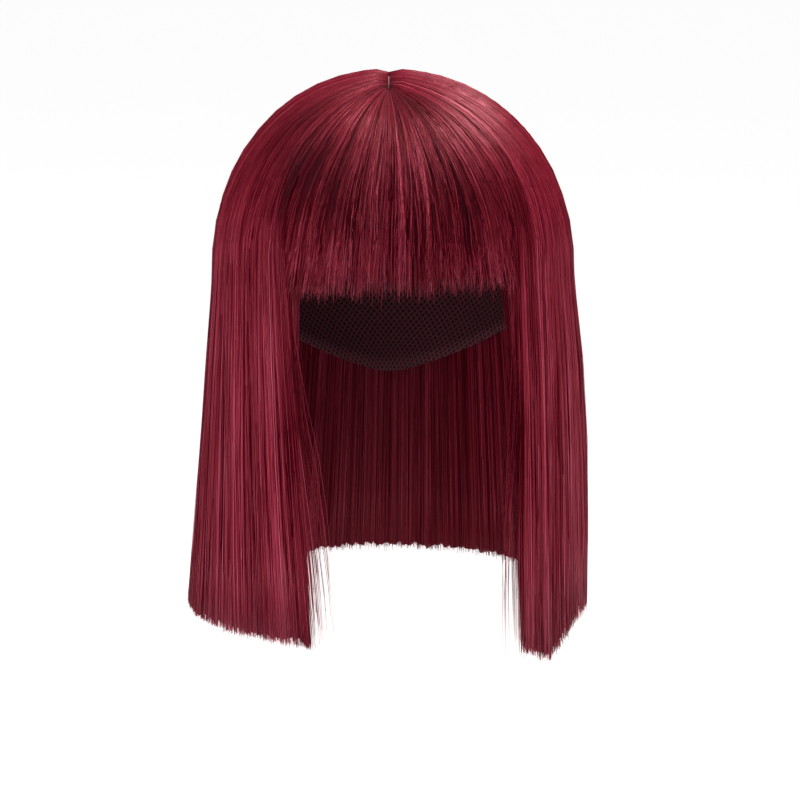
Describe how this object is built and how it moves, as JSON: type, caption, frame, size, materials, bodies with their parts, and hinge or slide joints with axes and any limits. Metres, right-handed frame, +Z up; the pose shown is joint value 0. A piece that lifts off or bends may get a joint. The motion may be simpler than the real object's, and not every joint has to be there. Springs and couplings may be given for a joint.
{
  "type": "wig",
  "caption": "Straight burgundy bob wig with a full blunt fringe and a centre parting, on a thin net cap open below for a head.",
  "frame": {"origin": "inner top of the cap, where the crown of a head bears", "axes": "+Z up, the face looks along -Y, +X is the wearer's left"},
  "size_m": [0.2065, 0.2179, 0.292],
  "materials": {
    "hair": "straight synthetic fibre, satin, burgundy",
    "cap_net": "dark elastic net, matt",
    "parting_skin": "pale woven strip, matt"
  },
  "bodies": {
    "root": {"cap": "cap_net", "parting_strip": "parting_skin", "bangs": "hair", "left_curtain": "hair", "right_curtain": "hair", "back_curtain": "hair"}
  },
  "joints": []
}
